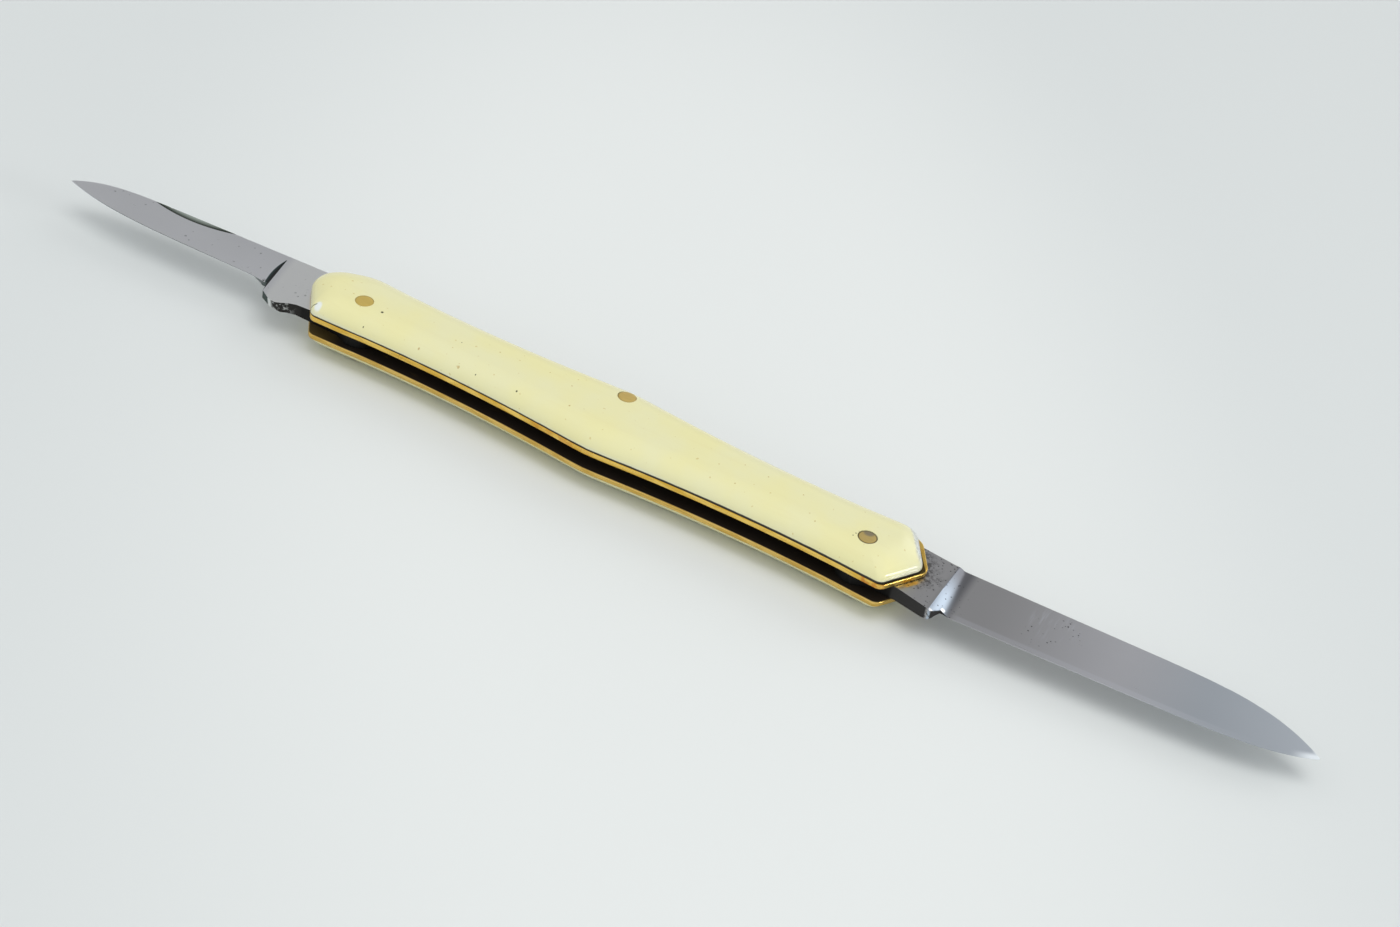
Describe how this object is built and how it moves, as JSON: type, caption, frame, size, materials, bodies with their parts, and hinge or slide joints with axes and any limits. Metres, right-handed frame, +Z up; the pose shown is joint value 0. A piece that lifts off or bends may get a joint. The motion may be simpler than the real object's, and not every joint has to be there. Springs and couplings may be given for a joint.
{
  "type": "folding pen knife",
  "caption": "Folding pen knife with a large and a small blade at opposite ends, rounded ivory-coloured scales, brass liners, flush rivets and a shared steel back spring.",
  "frame": {"origin": "middle of the underside of the handle, midway between the two pivot rivets", "axes": "+X from the pen blade's end to the main blade's end, +Y to the spring at the back, +Z up, square to the flat of the handle"},
  "size_m": [0.1412, 0.0108, 0.007],
  "materials": {
    "scales": "polished cream",
    "liners": "polished",
    "spring": "darkened",
    "blades": "satin, lightly pitted",
    "pins": "dull"
  },
  "bodies": {
    "handle": {"front_scale": "scales", "back_scale": "scales", "front_liner": "liners", "back_liner": "liners", "back_spring": "spring", "main_pivot_pin": "pins", "pen_pivot_pin": "pins", "spring_pin": "pins"},
    "main_blade": {"main_blade": "blades"},
    "pen_blade": {"pen_blade": "blades"}
  },
  "joints": [
    {"name": "main_blade_hinge", "type": "hinge", "parent": "handle", "child": "main_blade", "pos_m": [0.0287, -0.00127, 0.0035], "axis": [0, 0, 1], "range_deg": [-182.5, 0]},
    {"name": "pen_blade_hinge", "type": "hinge", "parent": "handle", "child": "pen_blade", "pos_m": [-0.0287, -0.00127, 0.0035], "axis": [0, 0, 1], "range_deg": [0, 180]}
  ]
}
